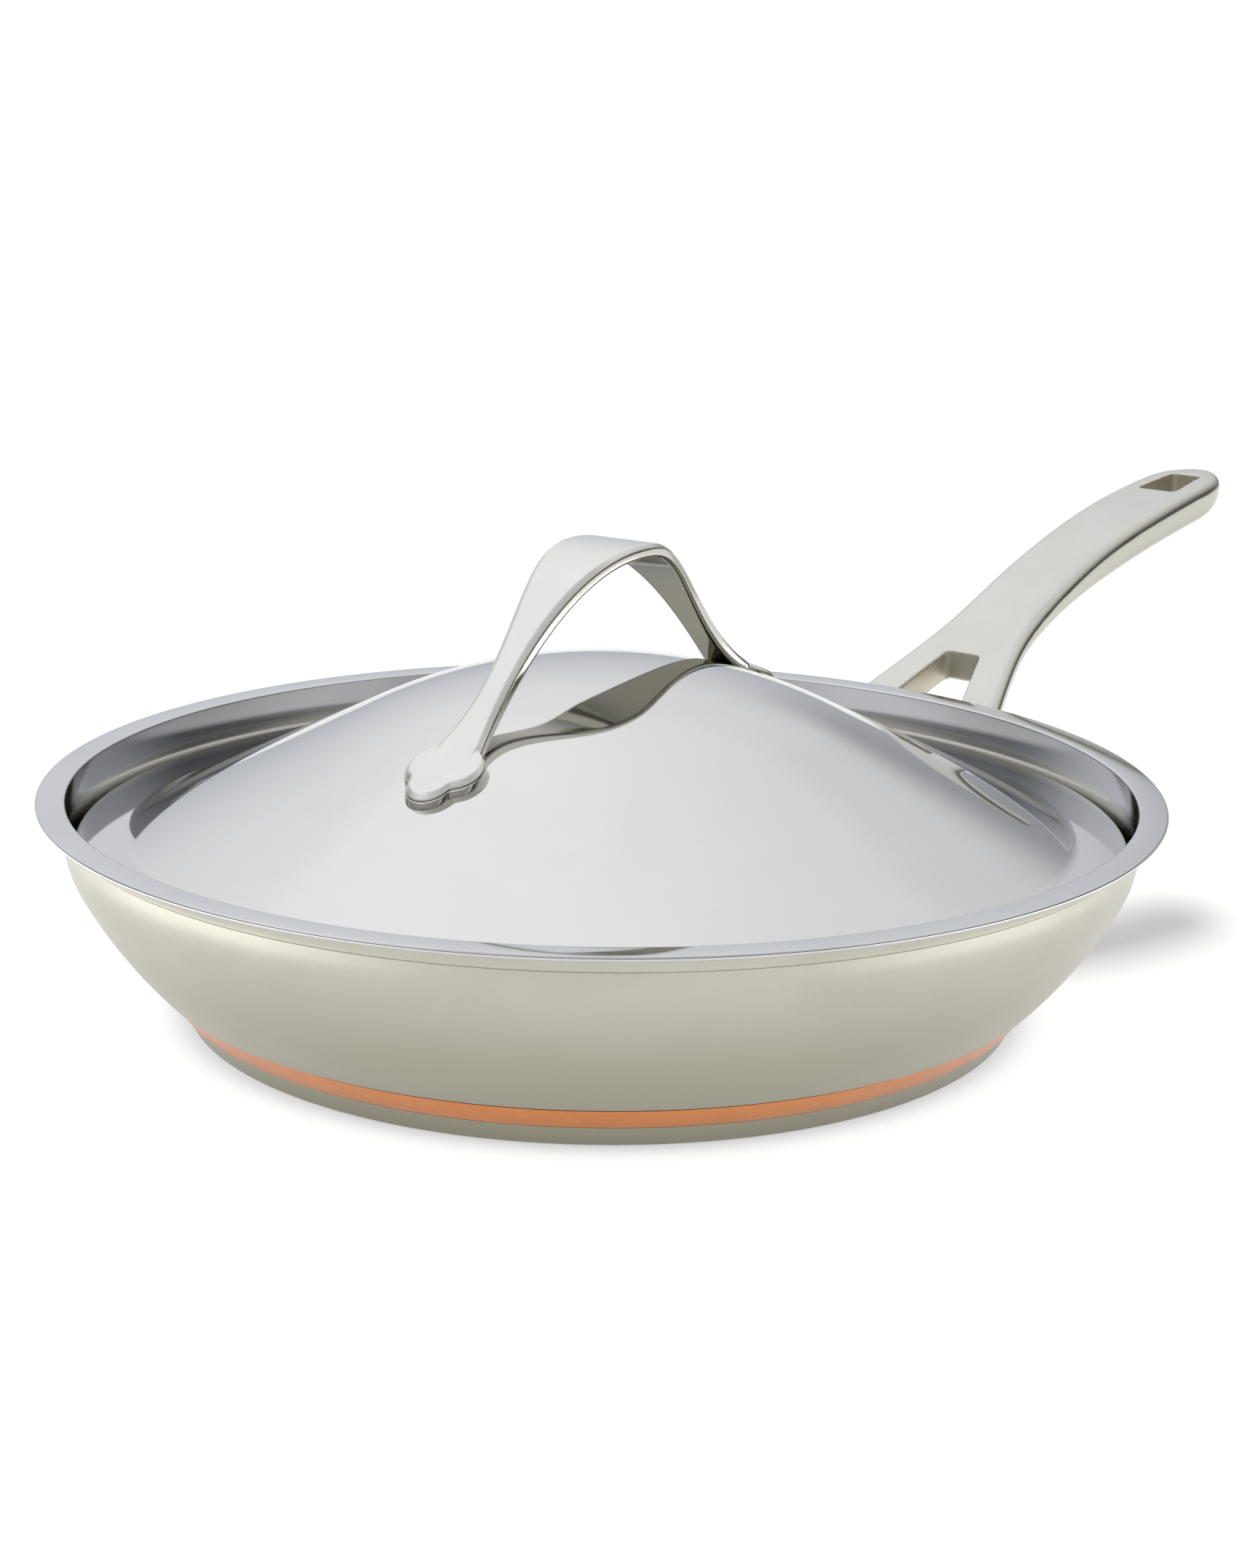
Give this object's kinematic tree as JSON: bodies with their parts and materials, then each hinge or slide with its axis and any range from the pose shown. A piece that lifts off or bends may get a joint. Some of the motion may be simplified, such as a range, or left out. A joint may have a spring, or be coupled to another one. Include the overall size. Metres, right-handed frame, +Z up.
{
  "type": "covered skillet",
  "caption": "Round steel skillet with a layered copper-banded base, a long cast handle, and a lift-off domed steel lid with a cast arch handle.",
  "frame": {"origin": "centre of the pan's base, on the plane that it stands on", "axes": "+X from the pan's axis along the pan handle, +Z up, +Y to the left of the handle seen from the pan"},
  "size_m": [0.5085, 0.322, 0.1345],
  "materials": {
    "body_steel": "fine satin, brushed around the axis, with a polished rim",
    "handle_steel": "cast, satin on top and polished on the sides",
    "polished_steel": "mirror polished",
    "copper": "satin copper, lightly turned",
    "aluminium": "plain, seen only as a thin dark groove"
  },
  "bodies": {
    "pan": {"pan_body": "body_steel", "base_upper_aluminium": "aluminium", "base_copper": "copper", "base_lower_aluminium": "aluminium", "base_cap": "body_steel", "pan_handle": "handle_steel", "pan_handle_rivets": "handle_steel"},
    "lid": {"lid_dome": "polished_steel", "lid_handle": "handle_steel", "lid_handle_rivets": "handle_steel"}
  },
  "joints": [
    {"name": "lid_lift", "type": "slide", "parent": "pan", "child": "lid", "axis": [0, 0, 1], "range_m": [0, 0.12]}
  ]
}
